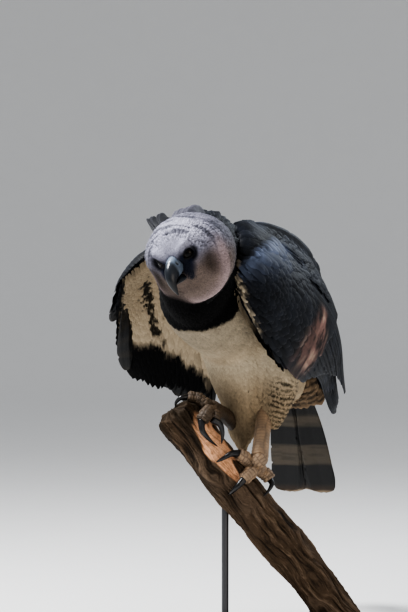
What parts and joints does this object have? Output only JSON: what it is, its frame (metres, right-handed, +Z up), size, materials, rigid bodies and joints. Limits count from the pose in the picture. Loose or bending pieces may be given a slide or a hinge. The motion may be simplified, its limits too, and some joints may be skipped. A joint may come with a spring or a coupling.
{
  "type": "harpy eagle model",
  "caption": "Life-size still model of a large crested eagle leaning forward as it grips a cut branch, on a plain display stand.",
  "frame": {"origin": "centre of the underside of the stand's base board", "axes": "+Z up, square to the base board's underside; the bird looks towards -Y and its left side is towards +X; the body leans forward and its tail reaches towards +Y, the longest extent"},
  "size_m": [0.446, 0.8003, 0.7642],
  "materials": {
    "slate_plumage": "slate-black feathers with a soft bluish sheen and paler edges",
    "white_plumage": "soft matte cream-white contour feathers, with narrow black bars on the thighs",
    "grey_plumage": "soft matte pale grey head feathers",
    "black_plumage": "matte black feathers; the tail is crossed by grey bands",
    "bill_horn": "satin horn, blue-grey at the base and dark at the tip",
    "claw_horn": "satin black horn",
    "eye_dark": "wet, very dark eye",
    "leg_skin": "matte scaled skin, dull yellow-grey",
    "branch_wood": "weathered fibrous bark over orange-brown wood",
    "stand_wood": "dark stained, satin",
    "stand_steel": "dark grey, satin"
  },
  "bodies": {
    "root": {"bill_lower": "bill_horn", "bill_upper": "bill_horn", "claw_left_hind": "claw_horn", "claw_left_inner": "claw_horn", "claw_left_middle": "claw_horn", "claw_left_outer": "claw_horn", "claw_right_hind": "claw_horn", "claw_right_inner": "claw_horn", "claw_right_middle": "claw_horn", "claw_right_outer": "claw_horn", "eye_left": "eye_dark", "eye_right": "eye_dark", "foot_left": "leg_skin", "foot_right": "leg_skin", "head": "grey_plumage", "neck": "black_plumage", "perch": "branch_wood", "stand_base": "stand_wood", "stand_rod_long": "stand_steel", "stand_rod_short": "stand_steel", "tail": "black_plumage", "tarsus_left": "leg_skin", "tarsus_right": "leg_skin", "thigh_left": "white_plumage", "thigh_right": "white_plumage", "torso": "white_plumage", "wing_left": "slate_plumage", "wing_right": "slate_plumage"}
  },
  "joints": []
}
